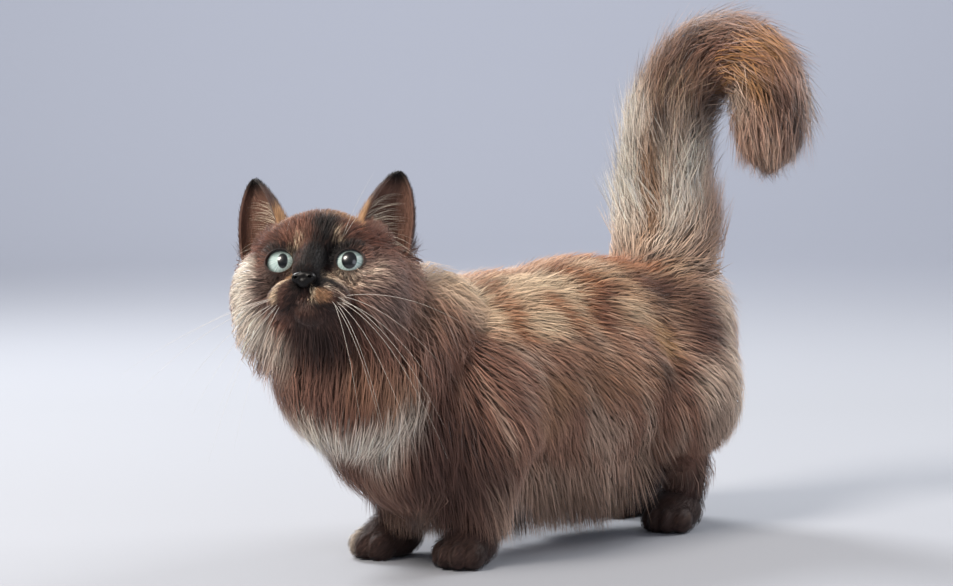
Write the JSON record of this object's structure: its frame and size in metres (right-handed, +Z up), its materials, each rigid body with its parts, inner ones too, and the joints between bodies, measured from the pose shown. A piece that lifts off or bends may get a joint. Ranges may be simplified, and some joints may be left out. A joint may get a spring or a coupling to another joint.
{
  "type": "munchkin cat, still life-size model",
  "caption": "Still, life-size short-legged cat with a semi-long coat, standing with its head turned and raised and its plumed tail carried up and hooked over.",
  "frame": {"origin": "centre of the model's box, at the floor that the paws stand on", "axes": "-Y forward, towards the chest; +X to the cat's left; +Z up"},
  "size_m": [0.1946, 0.4914, 0.3499],
  "materials": {
    "face_coat": "short dense fur, brown and black with cream flecks",
    "nose_leather": "moist black nose leather",
    "eye": "wet, clear cornea over a pale aqua iris",
    "body_coat": "semi-long fur, cream and fawn with rust and brown bars",
    "leg_coat": "short dark seal-brown fur",
    "tail_coat": "long plumed fur, cream with tan and brown"
  },
  "bodies": {
    "root": {"head": "face_coat", "nose": "nose_leather", "whisker_pad_left": "face_coat", "whisker_pad_right": "face_coat", "ear_left": "face_coat", "ear_right": "face_coat", "eye_left": "eye", "eye_right": "eye", "neck": "body_coat", "torso": "body_coat", "foreleg_left": "leg_coat", "foreleg_right": "leg_coat", "forepaw_left": "leg_coat", "forepaw_right": "leg_coat", "hindleg_left": "leg_coat", "hindleg_right": "leg_coat", "hindpaw_left": "leg_coat", "hindpaw_right": "leg_coat", "tail_root": "tail_coat", "tail_shaft": "tail_coat", "tail_bend": "tail_coat", "tail_tip": "tail_coat"}
  },
  "joints": []
}
